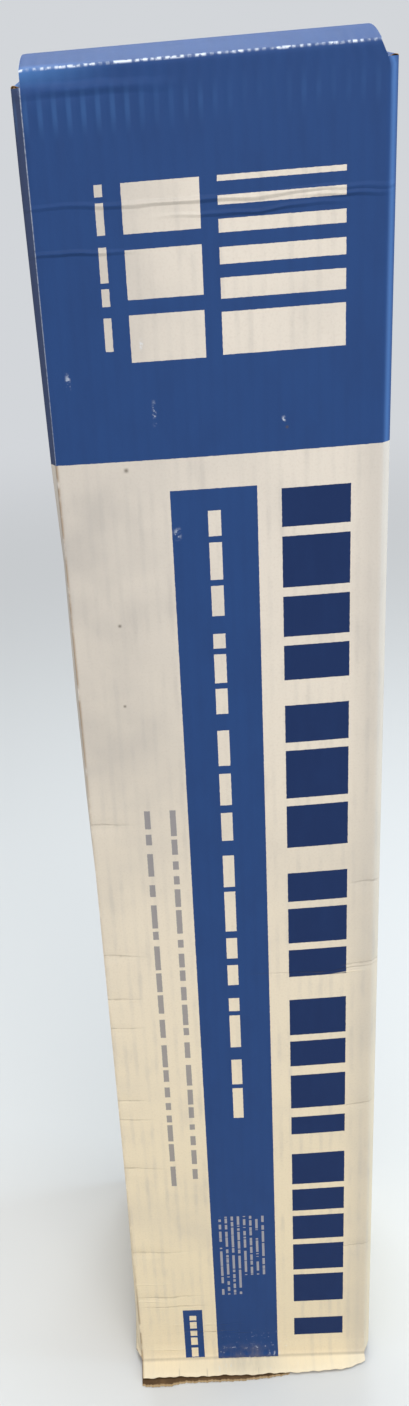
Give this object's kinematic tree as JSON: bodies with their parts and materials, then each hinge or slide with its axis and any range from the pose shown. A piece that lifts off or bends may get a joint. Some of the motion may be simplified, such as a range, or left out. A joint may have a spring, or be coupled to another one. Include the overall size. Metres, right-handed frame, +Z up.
{
  "type": "boxed roll of membrane",
  "caption": "Long square corrugated carton standing on its end, holding a wound roll of wall membrane upright inside.",
  "frame": {"origin": "middle of the end that it stands on, at floor level", "axes": "+Z up along the carton's length, -Y out of the printed front panel, +X to the right of someone facing that panel"},
  "size_m": [0.208, 0.23, 1.01],
  "materials": {
    "printed_board": "matt white-lined corrugated board with a flat blue print, worn at the folds",
    "membrane": "wound woven-faced sheet with its release liner, matt"
  },
  "bodies": {
    "root": {"carton": "printed_board", "membrane_roll": "membrane"}
  },
  "joints": []
}
